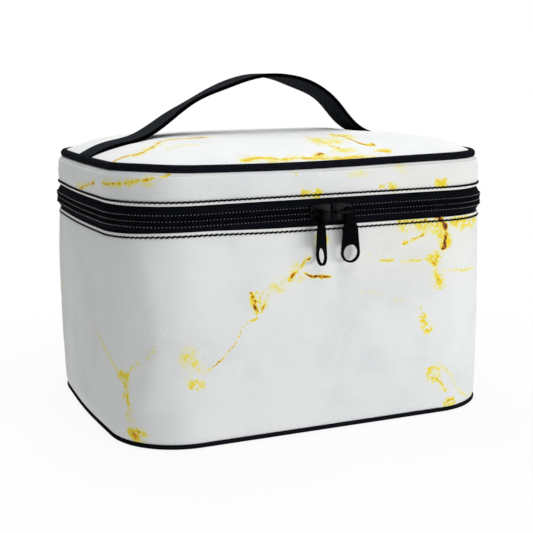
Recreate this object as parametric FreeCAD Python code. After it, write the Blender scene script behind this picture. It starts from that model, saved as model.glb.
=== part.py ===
import FreeCAD, Part
import math
import os

# Makeup train case: a padded cloth box with a zipped, domed lid and a webbing handle.
# +Z is up, the front faces -Y and the origin is the middle of the bottom face. Millimetres.

# Case, measured on the outside of the cloth
case_length = 220.0          # along X
case_depth = 175.0           # along Y
corner_radius = 38.0         # upright corners, seen from above
body_height = 111.5          # floor to the upper hem of the body
lid_band_height = 17.0       # lower hem of the lid to its piping
lid_crown = 10.0             # rise of the padded lid top over its rim
lid_fullness = 3.5           # 1 slopes straight to the middle, more is flatter with rounder edges
lid_roundness = 0.9          # how round the contours of the lid top get towards its middle

# Layers, from the outside in
cloth = 1.0
padding = 3.0
lining = 0.6
tape = 0.6                   # woven zip tape
hem = 6.0                    # how far the zip tape is sewn in behind each hem
binding = 0.6                # tape that binds the raw edges inside
binding_width = 9.0
layer_gap = 0.2              # room between layers that are not sewn flat together

# Bottom
bottom_piping_d = 3.2
bottom_piping_inset = 1.2    # middle of the piping, in from the outside of the cloth
bottom_lift = 0.1            # piping clears the table by this much
bottom_board_t = 2.0

# Lid edge and stiffener
lid_piping_d = 4.6
lid_piping_inset = 1.6
lid_board_t = 1.5

# Piping: a filler cord in a cloth sleeve whose flange is caught in the seam
sleeve = 0.6
cord_gap = 0.1               # between the cord and its sleeve
flange_t = 0.6
bottom_flange = 4.0          # flange width beyond the sleeve
lid_flange = 1.2

# Back hinge, a strip of the same cloth, and the ends of the zip
hinge_setback = 6.0          # hinge strip ends this far short of the corner curve
tape_tuck = 6.0              # zip tape ends tucked in behind the hinge strip
coil_stop = 1.0              # coil stops this far short of the hinge strip

# Zip chain: one coil on each tape with a slit between them
coil_width = 3.0
coil_height = 2.4
hem_show = 1.85              # bare tape between the bound edges and the sliders

# Sliders, nose to nose on the front
slider_length = 12.0
slider_tail = 7.4            # height of the narrow end
nose_length = 5.0            # straight part of the wide end
slider_plate = 1.3
slider_flange = 0.9
slider_clearance = 0.3
slider_meeting_x = 0.6
slider_gap = 0.6             # between the two noses
web_t = 0.6                  # web that joins front and back plate
web_length = 4.0
crown_rod_d = 1.5
crown_end = 1.8              # middle of each crown post, in from the end of the slider

# Pulls
pull_thickness = 1.4
pull_length = 27.2           # eye to the lower tip
pull_eye_wall = 1.4
pull_play = 0.45             # loose fit of the eye and of the blade under the rod
pull_shoulder = 8.2          # width where the blade starts
pull_taper = 3.4             # from the neck down to the shoulder
pull_hole_d = 8.5
pull_rim = 1.1
pull_wall_gap = 0.7          # between the edge-on pull and the wall of the case
left_pull_shift = -1.0       # where the left eye hangs on its rod

# Handle, one length of webbing whose two ends are sewn to the lid rim
strap_width = 25.0
strap_thickness = 2.0
strap_rest = 0.6             # webbing lies this far above the lid
strap_foot = 0.6             # sewn end, in from the rim of the lid cloth
handle_rise = 32.4           # top of the lid to the middle of the arch
left_lying = 26.0            # length at the left end that lies on the lid
right_lying = 39.0           # and at the right end
left_shoulder_in = 51.3      # middle of the left slope, inward from the left end
left_shoulder_up = 12.2      # and up from the top of the lid
right_shoulder_in = 64.7     # the same on the right, where the arch falls more steeply
right_shoulder_up = 18.2
right_foot_in = 46.8         # where the right slope meets the lid
right_foot_up = 2.1
crown_shift = 9.0            # top of the arch, to the right of the middle of the two slopes
arch_left = 56.0             # left end to the start of the free arch
arch_right = 60.0            # right end to the start of the free arch
strap_joint = 0.3            # between the arch and the legs that twist when it leans

half_length = case_length / 2
half_depth = case_depth / 2
wall = cloth + padding + lining
chain_slit = web_t + 2 * slider_clearance
slider_half = chain_slit / 2 + coil_width + slider_clearance + slider_flange
zip_opening = 2 * (slider_half + binding + hem_show)
zip_z = body_height + zip_opening / 2
lid_foot = body_height + zip_opening
lid_seam = lid_foot + lid_band_height
wall_foot = bottom_lift + bottom_piping_d
straight_half = half_length - corner_radius
hinge_half = straight_half - hinge_setback
lid_piping_z = lid_seam + lid_piping_d / 2
lid_rim_inset = lid_piping_inset + lid_piping_d / 2 + layer_gap
lid_rim_z = lid_piping_z + flange_t / 2
lid_top_z = lid_rim_z + cloth + lid_crown
tall = 10 * (lid_top_z + case_depth)     # longer than anything that is trimmed with it


def plan_wire(inset, z, radius):
    """Rounded rectangle at height z, inset from the outside of the case."""
    x = half_length - inset
    y = half_depth - inset
    bulge = radius * (1 - math.sqrt(0.5))
    edges = []
    for sx, sy in ((1, 1), (-1, 1), (-1, -1), (1, -1)):
        on_side = FreeCAD.Vector(sx * x, sy * (y - radius), z)
        middle = FreeCAD.Vector(sx * (x - bulge), sy * (y - bulge), z)
        on_end = FreeCAD.Vector(sx * (x - radius), sy * y, z)
        ends = (on_side, on_end) if sx == sy else (on_end, on_side)
        if edges:
            edges.append(Part.LineSegment(edges[-1].Vertexes[1].Point, ends[0]).toShape())
        edges.append(Part.Arc(ends[0], middle, ends[1]).toShape())
    edges.append(Part.LineSegment(edges[-1].Vertexes[1].Point, edges[0].Vertexes[0].Point).toShape())
    return Part.Wire(edges)


def slab(inset, low, high):
    """Solid plate with the plan of the case."""
    face = Part.Face(plan_wire(inset, low, corner_radius - inset))
    return face.extrude(FreeCAD.Vector(0, 0, high - low))


def band(outer, inner, low, high):
    """Upright wall that runs round the case between two insets."""
    return slab(outer, low, high).cut(slab(inner, low, high))


def back_block(half_width):
    """Block over the back of the case, used to trim what stops there."""
    return Part.makeBox(2 * half_width, tall, tall, FreeCAD.Vector(-half_width, 0, 0))


def tube(inset, z, diameter):
    """Round bar that follows the plan of the case."""
    path = plan_wire(inset, z, corner_radius - inset)
    start = path.Edges[0].Vertexes[0].Point
    circle = Part.Circle(start, path.Edges[0].tangentAt(path.Edges[0].FirstParameter), diameter / 2)
    section = Part.Wire(circle.toShape())
    return path.makePipeShell([section], True, False)


def piping(inset, z, diameter, flange_low, flange_width):
    """Cloth sleeve with its seam flange, and the filler cord inside it."""
    bore = diameter - 2 * sleeve
    flange_end = inset + diameter / 2 + flange_width
    flange = band(inset, flange_end, flange_low, flange_low + flange_t)
    cover = tube(inset, z, diameter).fuse(flange).cut(tube(inset, z, bore))
    cord = tube(inset, z, bore - 2 * cord_gap)
    return cover.removeSplitter(), cord


def dome_rise(inset):
    """Height of the lid top over its rim, at an inset from the edge of the case."""
    depth = min(1.0, max(0.0, (inset - lid_rim_inset) / (half_depth - lid_rim_inset)))
    return lid_crown * (1 - (1 - depth) ** lid_fullness)


def dome(inset, low, lift):
    """Cushion-shaped solid from a flat underside at low to the domed top, raised by lift."""
    wires = [plan_wire(inset, low, corner_radius - inset)]
    for share in (0.0, 0.05, 0.12, 0.22, 0.36, 0.55, 0.8):
        at = inset + share * (half_depth - inset)
        across = half_depth - at
        radius = (1 - share) * max(corner_radius - at, 0.0) + share * lid_roundness * across
        wires.append(plan_wire(at, lid_rim_z + lift + dome_rise(at), radius))
    foot = Part.makeLoft(wires[:2], True, True)
    return foot.fuse(Part.makeLoft(wires[1:], True, False)).removeSplitter()


def body_parts():
    core_inset = max(cloth + padding, bottom_piping_inset + bottom_piping_d / 2) + layer_gap
    panel_inset = bottom_piping_inset + bottom_piping_d / 2 + layer_gap
    board_low = cloth + flange_t
    board_high = board_low + bottom_board_t
    floor = board_high + lining
    tape_low = band(cloth, cloth + tape, body_height - hem, zip_z - chain_slit / 2)
    tape_low = tape_low.cut(back_block(hinge_half - tape_tuck))
    foam = band(cloth, cloth + padding, wall_foot, body_height).cut(tape_low)
    cover, cord = piping(bottom_piping_inset, bottom_lift + bottom_piping_d / 2, bottom_piping_d,
                         cloth, bottom_flange)
    top_edge = band(cloth + tape, wall + binding, body_height, body_height + binding)
    inner_edge = band(wall, wall + binding, body_height - binding_width, body_height)
    return {
        "body_wall_cloth": band(0, cloth, wall_foot, body_height),
        "body_foam": foam,
        "body_lining": band(cloth + padding, wall, floor, body_height),
        "bottom_panel": slab(panel_inset, 0, cloth),
        "bottom_board": slab(core_inset, board_low, board_high),
        "bottom_lining": slab(core_inset, board_high, floor),
        "bottom_piping": cover,
        "bottom_piping_cord": cord,
        "body_seam_binding": top_edge.fuse(inner_edge).removeSplitter(),
        "zip_tape_lower": tape_low,
        "zip_coil_lower": coil(zip_z - chain_slit / 2 - coil_width),
    }


def lid_parts():
    ceiling_inset = max(lid_rim_inset, cloth + padding + layer_gap)
    board_high = lid_piping_z - flange_t / 2
    board_low = board_high - lid_board_t
    ceiling = board_low - lining
    tape_up = band(cloth, cloth + tape, zip_z + chain_slit / 2, lid_foot + hem)
    tape_up = tape_up.cut(back_block(hinge_half - tape_tuck))
    foam = band(cloth, cloth + padding, lid_foot, lid_seam).cut(tape_up)
    cover, cord = piping(lid_piping_inset, lid_piping_z, lid_piping_d,
                         lid_piping_z - flange_t / 2, lid_flange)
    low_edge = band(cloth + tape, wall + binding, lid_foot - binding, lid_foot)
    bound = min(binding_width, ceiling - lid_foot)
    inner_edge = band(wall, wall + binding, lid_foot, lid_foot + bound)
    skin_inset = lid_rim_inset + cloth
    flange_end = lid_piping_inset + lid_piping_d / 2 + lid_flange
    foam_inset = max(skin_inset, flange_end) + layer_gap
    hollow = dome(skin_inset, lid_rim_z, 0.0)
    return {
        "lid_band_cloth": band(0, cloth, lid_foot, lid_seam),
        "lid_band_foam": foam,
        "lid_band_lining": band(cloth + padding, wall, lid_foot, ceiling),
        "lid_top_cloth": dome(lid_rim_inset, lid_rim_z, cloth).cut(hollow),
        "lid_top_foam": dome(foam_inset, board_high, -layer_gap),
        "lid_board": slab(ceiling_inset, board_low, board_high),
        "lid_top_lining": slab(ceiling_inset, ceiling, board_low),
        "lid_piping": cover,
        "lid_piping_cord": cord,
        "lid_seam_binding": low_edge.fuse(inner_edge).removeSplitter(),
        "zip_tape_upper": tape_up,
        "zip_coil_upper": coil(zip_z + chain_slit / 2),
    }


def coil(low):
    """Half of the zip chain, on the outer side of its tape."""
    row = band(cloth - coil_height, cloth, low, low + coil_width)
    return row.cut(back_block(hinge_half + coil_stop))


def hinge_parts():
    """Cloth strip and lining strip that join body and lid along the back."""
    width = 2 * hinge_half
    outer = Part.makeBox(width, cloth, zip_opening,
                         FreeCAD.Vector(-hinge_half, half_depth - cloth, body_height))
    inner = Part.makeBox(width, lining, zip_opening - 2 * binding,
                         FreeCAD.Vector(-hinge_half, half_depth - wall, body_height + binding))
    return {"hinge_panel": outer, "hinge_lining": inner}


coil_face = -half_depth + cloth - coil_height
plate_inner = coil_face - slider_clearance
plate_outer = plate_inner - slider_plate
crown_gap = max(pull_thickness, pull_eye_wall) + 2 * pull_play
crown_span = slider_length - 2 * crown_end
rod_y = plate_outer - crown_gap - crown_rod_d / 2
back_plate_y = -half_depth + cloth + tape + slider_clearance
pull_tip = pull_hole_d / 2 + pull_rim
pull_drop = pull_length - pull_tip       # eye to the middle of the hole


def slider_plan(middle, way, y, depth):
    """Plate of a slider: wide at the nose, which points along way, narrow at the tail."""
    nose = middle + way * slider_length / 2
    neck = nose - way * nose_length
    tail = middle - way * slider_length / 2
    corners = [(nose, slider_half), (neck, slider_half), (tail, slider_tail / 2)]
    corners += [(x, -z) for x, z in reversed(corners)]
    points = [FreeCAD.Vector(x, y, zip_z + z) for x, z in corners]
    face = Part.Face(Part.makePolygon(points + points[:1]))
    return face.extrude(FreeCAD.Vector(0, depth, 0))


def slider(middle, way):
    """Front plate with its crown, back plate, the web between them and the lower flange."""
    front = slider_plan(middle, way, plate_outer, slider_plate)
    back = slider_plan(middle, way, back_plate_y, slider_plate)
    nose = middle + way * slider_length / 2
    web_low = FreeCAD.Vector(min(nose, nose - way * web_length), plate_inner, zip_z - web_t / 2)
    web = Part.makeBox(web_length, back_plate_y - plate_inner, web_t, web_low)
    flange_low = FreeCAD.Vector(min(nose, nose - way * nose_length), plate_inner, zip_z - slider_half)
    flange = Part.makeBox(nose_length, coil_height, slider_flange, flange_low)
    solids = [back, web, flange]
    out = FreeCAD.Vector(0, -1, 0)
    for side in (-1, 1):
        foot = FreeCAD.Vector(middle + side * crown_span / 2, plate_outer, zip_z)
        solids.append(Part.makeCylinder(crown_rod_d / 2, plate_outer - rod_y, foot, out))
        solids.append(Part.makeSphere(crown_rod_d / 2, foot + out * (plate_outer - rod_y)))
    rod_start = FreeCAD.Vector(middle - crown_span / 2, rod_y, zip_z)
    solids.append(Part.makeCylinder(crown_rod_d / 2, crown_span, rod_start, FreeCAD.Vector(1, 0, 0)))
    return front.fuse(solids).removeSplitter()


def pull():
    """Pull with its eye at the origin, hanging along -Z, its thickness along Y."""
    half = pull_thickness / 2
    eye_bore = crown_rod_d / 2 + pull_play
    eye = eye_bore + pull_eye_wall
    neck = slider_half + slider_clearance
    side = [(eye, 0), (eye, -neck), (pull_shoulder / 2, -neck - pull_taper), (pull_tip, -pull_drop)]
    corners = side + [(-x, z) for x, z in reversed(side)]
    points = [FreeCAD.Vector(x, -half, z) for x, z in corners]
    blade = Part.Face(Part.makePolygon(points + points[:1]))
    blade = blade.extrude(FreeCAD.Vector(0, pull_thickness, 0))

    def disc(radius, z):
        face_middle = FreeCAD.Vector(0, -half, z)
        return Part.makeCylinder(radius, pull_thickness, face_middle, FreeCAD.Vector(0, 1, 0))

    whole = blade.fuse([disc(eye, 0), disc(pull_tip, -pull_drop)])
    return whole.cut([disc(eye_bore, 0), disc(pull_hole_d / 2, -pull_drop)]).removeSplitter()


def zip_pull_parts():
    """Two sliders with their pulls: the left one hangs edge-on, clear of the wall, the right one flat."""
    reach = (slider_gap + slider_length) / 2
    left = slider_meeting_x - reach
    right = slider_meeting_x + reach
    shortfall = pull_tip + pull_wall_gap - (-half_depth - rod_y)
    lean = math.degrees(math.asin(max(0.0, shortfall) / pull_drop))
    edge_on = pull()
    edge_on.rotate(FreeCAD.Vector(0, 0, 0), FreeCAD.Vector(0, 0, 1), 90)
    edge_on.rotate(FreeCAD.Vector(0, 0, 0), FreeCAD.Vector(1, 0, 0), -lean)
    edge_on.translate(FreeCAD.Vector(left + left_pull_shift, rod_y, zip_z))
    flat = pull()
    flat.translate(FreeCAD.Vector(right + crown_span / 2, plate_outer - crown_gap / 2, zip_z))
    return {"slider_left": slider(left, 1), "slider_right": slider(right, -1),
            "pull_left": edge_on, "pull_right": flat}


def handle_line():
    """Middle line of the webbing in the XZ plane, as a smooth curve from left end to right end."""
    end_x = half_length - lid_rim_inset - strap_foot
    over_lid = lid_rim_z + cloth + strap_rest + strap_thickness / 2

    def rest(inward):
        return over_lid + dome_rise(half_length - end_x + inward)

    lying = [(share * left_lying - end_x, rest(share * left_lying)) for share in (0.0, 0.5, 1.0)]
    landing = [(end_x - share * right_lying, rest(share * right_lying)) for share in (1.0, 2 / 3, 1 / 3, 0.0)]
    left_x = left_shoulder_in - end_x
    right_x = end_x - right_shoulder_in
    arch = [(left_x, lid_top_z + left_shoulder_up),
            ((left_x + right_x) / 2 + crown_shift, lid_top_z + handle_rise),
            (right_x, lid_top_z + right_shoulder_up),
            (end_x - right_foot_in, lid_top_z + right_foot_up)]
    line = Part.BSplineCurve()
    line.interpolate([FreeCAD.Vector(x, 0, z) for x, z in lying + arch + landing])
    return line, end_x


def webbing(line, start, stop):
    """Flat webbing along the line between two X positions."""
    count = 12
    first = line.parameter(line_point(line, start))
    last = line.parameter(line_point(line, stop))
    sides = ([], [])
    for step in range(count + 1):
        at = first + (last - first) * step / count
        along = line.tangent(at)[0]
        normal = FreeCAD.Vector(-along.z, 0, along.x)
        for points, way in zip(sides, (1, -1)):
            points.append(line.value(at) + normal * (way * strap_thickness / 2))
    edges = []
    for points in sides:
        curve = Part.BSplineCurve()
        curve.interpolate(points)
        edges.append(curve.toShape())
    for end in (0, -1):
        edges.append(Part.LineSegment(sides[0][end], sides[1][end]).toShape())
    face = Part.Face(Part.Wire(Part.__sortEdges__(edges)))
    face.translate(FreeCAD.Vector(0, -strap_width / 2, 0))
    return face.extrude(FreeCAD.Vector(0, strap_width, 0))


def line_point(line, x):
    """Point of the line at a given X."""
    upright = Part.Plane(FreeCAD.Vector(x, 0, 0), FreeCAD.Vector(1, 0, 0))
    found = line.intersect(upright)[0][0]
    return FreeCAD.Vector(found.X, found.Y, found.Z)


def handle_parts():
    line, end_x = handle_line()
    left = arch_left - end_x
    right = end_x - arch_right
    return {
        "handle_leg_left": webbing(line, -end_x, left - strap_joint),
        "handle_strap": webbing(line, left, right),
        "handle_leg_right": webbing(line, right + strap_joint, end_x),
    }


os.makedirs("parts", exist_ok=True)
nodes = {}
for group in (body_parts(), lid_parts(), hinge_parts(), zip_pull_parts(), handle_parts()):
    nodes.update(group)
for name, shape in nodes.items():
    shape.exportStep("parts/" + name + ".step")
    box = shape.BoundBox
    print(name, len(shape.Solids), shape.isValid(), round(shape.Volume, 1),
          [round(v, 2) for v in (box.XMin, box.YMin, box.ZMin, box.XMax, box.YMax, box.ZMax)])
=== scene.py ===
import math

import bmesh
import bpy
import numpy as np
from mathutils import Matrix, Vector, noise


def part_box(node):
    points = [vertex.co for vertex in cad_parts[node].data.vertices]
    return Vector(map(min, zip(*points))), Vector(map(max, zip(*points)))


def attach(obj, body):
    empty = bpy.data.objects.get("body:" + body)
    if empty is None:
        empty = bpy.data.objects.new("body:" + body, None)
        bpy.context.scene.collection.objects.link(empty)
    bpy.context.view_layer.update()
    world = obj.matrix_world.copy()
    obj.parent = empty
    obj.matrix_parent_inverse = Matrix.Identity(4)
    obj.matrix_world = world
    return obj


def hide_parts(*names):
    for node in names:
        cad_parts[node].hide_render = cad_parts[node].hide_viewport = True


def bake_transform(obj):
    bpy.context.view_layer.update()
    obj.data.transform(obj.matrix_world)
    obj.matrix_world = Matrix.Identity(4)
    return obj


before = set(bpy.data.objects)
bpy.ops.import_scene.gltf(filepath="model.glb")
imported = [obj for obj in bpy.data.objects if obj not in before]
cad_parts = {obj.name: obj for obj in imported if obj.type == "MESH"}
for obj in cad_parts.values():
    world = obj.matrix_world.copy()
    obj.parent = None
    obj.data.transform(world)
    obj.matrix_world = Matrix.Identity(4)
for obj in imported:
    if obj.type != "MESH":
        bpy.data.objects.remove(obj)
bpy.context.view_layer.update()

# Sizes in metres, as in the part's source. An inset goes in from the outside of the case.
MM = 0.001
HALF_LENGTH = 110 * MM
HALF_DEPTH = 87.5 * MM
CORNER = 38 * MM
STRAIGHT_X = HALF_LENGTH - CORNER
STRAIGHT_Y = HALF_DEPTH - CORNER
CORNER_RUN = CORNER * math.pi / 2
PERIMETER = 4 * (STRAIGHT_X + STRAIGHT_Y + CORNER_RUN)
JOINS = np.cumsum([0, STRAIGHT_X, CORNER_RUN, 2 * STRAIGHT_Y, CORNER_RUN, STRAIGHT_X])
CLOTH = 1 * MM
WALL_FOOT = 2.6 * MM
BODY_TOP = 111.5 * MM
ZIP_Z = 118.75 * MM
LID_FOOT = 126 * MM
LID_SEAM = 143 * MM
HEM_STITCH_LOW = BODY_TOP - 1.9 * MM
HEM_STITCH_HIGH = LID_FOOT + 1.9 * MM
FOAM_INSET = 1.05 * MM
FOAM_THICK = 2.9 * MM
LINING_INSET = 4.05 * MM
LINING_THICK = 0.5 * MM
RIM_INSET = 4.1 * MM
RIM_Z = 144.9 * MM
CROWN = 10.7 * MM
FULLNESS = 3.5
HINGE_HALF = 66 * MM
HINGE_STITCH_X = 63.6 * MM
STRAP_HALF = 12.5 * MM
STRAP_THICK = 2 * MM
PULL_ROD_Y = -93.55 * MM
SLIDER_LEFT_X = -5.7 * MM
SLIDER_RIGHT_X = 6.9 * MM
PULL_LEFT_X = -6.7 * MM
PULL_RIGHT_X = 11.1 * MM
PULL_RIGHT_Y = -91.65 * MM

# Fineness of the meshes: steps in a corner, and widths of a column of faces.
CORNER_STEPS = 18
FINE = 2.6 * MM
COLUMN = 3 * MM
COARSE = 4 * MM


def start_clean():
    """Back to object mode with nothing selected."""
    if bpy.context.object and bpy.context.object.mode != "OBJECT":
        object_mode()
    bpy.ops.object.select_all(action="DESELECT")


def take_up(piece):
    """Makes one piece the active one, and selects nothing else."""
    start_clean()
    piece.select_set(True)
    bpy.context.view_layer.objects.active = piece


def name_piece(name):
    piece = bpy.context.active_object
    piece.name = name
    piece.data.name = name
    return piece


def apply_place():
    bpy.ops.object.transform_apply(location=True, rotation=True, scale=True)


def basic(kind, name, scale=(1, 1, 1), **settings):
    """One of Blender's basic shapes, with its name, size and place."""
    start_clean()
    getattr(bpy.ops.mesh, f"primitive_{kind}_add")(**settings)
    piece = name_piece(name)
    piece.scale = scale
    apply_place()
    return piece


def select_whole():
    bpy.ops.mesh.select_all(action="SELECT")


def edit_mode():
    bpy.ops.object.mode_set(mode="EDIT")
    select_whole()


def object_mode():
    bpy.ops.object.mode_set(mode="OBJECT")


def close_outward():
    """Turns all faces outwards and leaves edit mode."""
    select_whole()
    bpy.ops.mesh.normals_make_consistent(inside=False)
    object_mode()


def extrude(x, y, z):
    bpy.ops.mesh.extrude_region_move(TRANSFORM_OT_translate={"value": (x, y, z)})


def pick(piece, kind, test):
    """In edit mode, selects only the vertices, edges or faces that pass the test."""
    bpy.ops.mesh.select_mode(type={"verts": "VERT", "edges": "EDGE", "faces": "FACE"}[kind])
    bpy.ops.mesh.select_all(action="DESELECT")
    shape = bmesh.from_edit_mesh(piece.data)
    for part in getattr(shape, kind):
        if test(part):
            part.select_set(True)
    shape.select_flush_mode()
    bmesh.update_edit_mesh(piece.data)


def span_of(edge, axis):
    """How far an edge goes along an axis."""
    return abs(edge.verts[0].co[axis] - edge.verts[1].co[axis])


def use(piece, kind, **settings):
    """Adds a modifier and applies it."""
    take_up(piece)
    modifier = piece.modifiers.new(kind.lower(), kind)
    for name, value in settings.items():
        setattr(modifier, name, value)
    bpy.ops.object.modifier_apply(modifier=modifier.name)


def thicken(piece, thickness, offset=-1, **settings):
    use(piece, "SOLIDIFY", thickness=thickness, offset=offset, **settings)


def round_edges(piece, width, segments=2, angle=60):
    use(piece, "BEVEL", width=width, segments=segments, limit_method="ANGLE", angle_limit=math.radians(angle))


def smooth(piece, angle=40):
    take_up(piece)
    bpy.ops.object.shade_smooth_by_angle(angle=math.radians(angle))


def places(piece):
    spots = np.empty(len(piece.data.vertices) * 3)
    piece.data.vertices.foreach_get("co", spots)
    return spots.reshape(-1, 3)


def put(piece, spots):
    piece.data.vertices.foreach_set("co", np.asarray(spots, float).ravel())
    piece.data.update()


def join(name, pieces):
    take_up(pieces[0])
    for piece in pieces:
        piece.select_set(True)
    bpy.ops.object.join()
    return name_piece(name)


def kept(value):
    """The value, held between 0 and 1."""
    return np.clip(value, 0, 1)


def ease(share):
    """A share from 0 to 1 with a soft start and end."""
    return share * share * (3 - 2 * share)


def rows(low, high, count):
    """Even heights, from millimetres."""
    return list(np.linspace(low, high, count) * MM)


def plan_run(x, y):
    """Way round the plan from the middle of the front, positive to the right, and the way out."""
    side = np.where(x < 0, -1.0, 1.0)
    near_x = np.clip(np.abs(x), 0, STRAIGHT_X)
    near_y = np.clip(y, -STRAIGHT_Y, STRAIGHT_Y)
    out_x = np.abs(x) - near_x
    out_y = y - near_y
    turn = np.arctan2(out_x, -out_y)
    along = np.where(y < 0, near_x, 2 * STRAIGHT_X - near_x)
    run = side * (along + CORNER * turn + near_y + STRAIGHT_Y)
    length = np.maximum(np.hypot(out_x, out_y), 1e-9)
    return run, side * out_x / length, out_y / length


def plan_place(run, inset):
    """Point and outward direction at a way round the plan."""
    side = -1.0 if run < 0 else 1.0
    x = np.interp(abs(run), JOINS, (0, *[STRAIGHT_X] * 4, 0))
    y = np.interp(abs(run), JOINS, (*[-STRAIGHT_Y] * 3, *[STRAIGHT_Y] * 3))
    turn = np.interp(abs(run), JOINS, (0, 0, math.pi / 2, math.pi / 2, math.pi, math.pi))
    out = Vector((side * math.sin(turn), -math.cos(turn), 0))
    return Vector((side * x, y, 0)) + out * (CORNER - inset), out


def plan_inset(x, y):
    """How far in from the outside of the case a point of the plan is."""
    over_x = np.abs(x) - STRAIGHT_X
    over_y = np.abs(y) - STRAIGHT_Y
    outside = np.hypot(np.maximum(over_x, 0), np.maximum(over_y, 0))
    return CORNER - outside - np.minimum(np.maximum(over_x, over_y), 0)


def whole_numbers(items, field):
    values = np.empty(len(items), int)
    items.foreach_get(field, values)
    return values


def lay_run_map(piece, across, period=0.0):
    """UV map in metres: the way round the plan, and the way across as the function gives it."""
    mesh = piece.data
    layer = mesh.uv_layers.new(name="run")
    spots = places(piece)
    run = plan_run(spots[:, 0], spots[:, 1])[0]
    side = across(spots)
    corner = whole_numbers(mesh.loops, "vertex_index")
    starts = whole_numbers(mesh.polygons, "loop_start")
    first = np.repeat(corner[starts], whole_numbers(mesh.polygons, "loop_total"))
    u = run[corner]
    u -= PERIMETER * np.round((u - run[first]) / PERIMETER)
    v = side[corner]
    if period:
        v -= period * np.round((v - side[first]) / period)
    layer.data.foreach_set("uv", np.column_stack([u, v]).ravel())


def plan_loop(name, inset, height, column):
    """The rounded plan of the case as a loop of edges, left in edit mode and all selected."""
    piece = basic("plane", name, (HALF_LENGTH - inset, HALF_DEPTH - inset, 1), location=(0, 0, height))
    edit_mode()
    bpy.ops.mesh.bevel(affect="VERTICES", offset=CORNER - inset, segments=CORNER_STEPS, profile=0.5)
    select_whole()
    bpy.ops.mesh.delete(type="ONLY_FACE")
    for axis, length in ((0, 2 * STRAIGHT_X), (1, 2 * STRAIGHT_Y)):
        pick(piece, "edges", lambda e: abs(span_of(e, axis) - length) < MM)
        bpy.ops.mesh.subdivide(number_cuts=round(length / column) - 1)
    select_whole()
    return piece


def plan_face(name, inset, height):
    """A flat face inside that loop, left in edit mode and selected."""
    piece = plan_loop(name, inset, height, 2 * COLUMN)
    bpy.ops.mesh.edge_face_add()
    select_whole()
    return piece


def slab(name, inset, low, high):
    """Flat solid with the plan of the case."""
    piece = plan_face(name, inset, low)
    extrude(0, 0, high - low)
    close_outward()
    return piece


def wall_ring(name, inset, heights, thickness, column=COLUMN, open_back=0.0, edge=0.0, shape=None):
    """Upright band of cloth round the case, with its thickness to the inside."""
    piece = plan_loop(name, inset, heights[0], column)
    if open_back:
        pick(piece, "verts", lambda v: v.co.y > STRAIGHT_Y and abs(v.co.x) < open_back)
        bpy.ops.mesh.delete(type="VERT")
        select_whole()
    for low, high in zip(heights, heights[1:]):
        extrude(0, 0, high - low)
    close_outward()
    face = piece.data.polygons[0]
    if face.normal.x * face.center.x + face.normal.y * face.center.y < 0:
        piece.data.flip_normals()
    if shape:
        spots = places(piece)
        run, out_x, out_y = plan_run(spots[:, 0], spots[:, 1])
        push = shape(run, spots[:, 2])
        spots[:, 0] += out_x * push
        spots[:, 1] += out_y * push
        put(piece, spots)
    thicken(piece, thickness, use_even_offset=True)
    if edge:
        round_edges(piece, edge)
    lay_run_map(piece, lambda p: p[:, 2])
    smooth(piece, 50)
    return piece


def plan_tube(name, inset, height, radius, column, sides):
    """Round bar that follows the plan, made as a curve with a round bevel."""
    plan_loop(name, inset, height, column)
    object_mode()
    bpy.ops.object.convert(target="CURVE")
    curve = bpy.context.active_object.data
    curve.bevel_depth = radius
    curve.bevel_resolution = (sides - 4) // 2
    curve.use_fill_caps = False
    bpy.ops.object.convert(target="MESH")
    piece = name_piece(name)
    take_up(piece)
    edit_mode()
    bpy.ops.mesh.remove_doubles(threshold=0.01 * MM)
    close_outward()

    def round_it(spots):
        reach = inset - plan_inset(spots[:, 0], spots[:, 1])
        return np.arctan2(spots[:, 2] - height, reach) * radius

    lay_run_map(piece, round_it, math.tau * radius)
    smooth(piece, 60)
    return piece


def repeat_along(name, unit, spots):
    """Copies of one small shape, each turned to stand on the plan, as one piece."""
    base = places(unit)
    faces = [tuple(f.vertices) for f in unit.data.polygons]
    vertices, loops = [], []
    for count, (spot, out) in enumerate(spots):
        along = np.array((-out.y, out.x, 0))
        turned = np.outer(base[:, 0], along) + np.outer(base[:, 1], -np.array(out))
        turned[:, 2] += base[:, 2]
        vertices.append(turned + np.array(spot))
        loops += [tuple(v + count * len(base) for v in face) for face in faces]
    mesh = bpy.data.meshes.new(name)
    mesh.from_pydata(np.vstack(vertices).tolist(), [], loops)
    piece = bpy.data.objects.new(name, mesh)
    bpy.context.scene.collection.objects.link(piece)
    bpy.data.objects.remove(unit, do_unlink=True)
    smooth(piece, 60)
    return piece


def sum_node(operation, reflected=False):
    """A method for Thread that adds a Math node; reflected, the other value comes first."""
    def method(self, other=0.0):
        first, second = (other, self) if reflected else (self, other)
        return self.node("ShaderNodeMath", {"operation": operation}, {0: first, 1: second})

    return method


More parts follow.
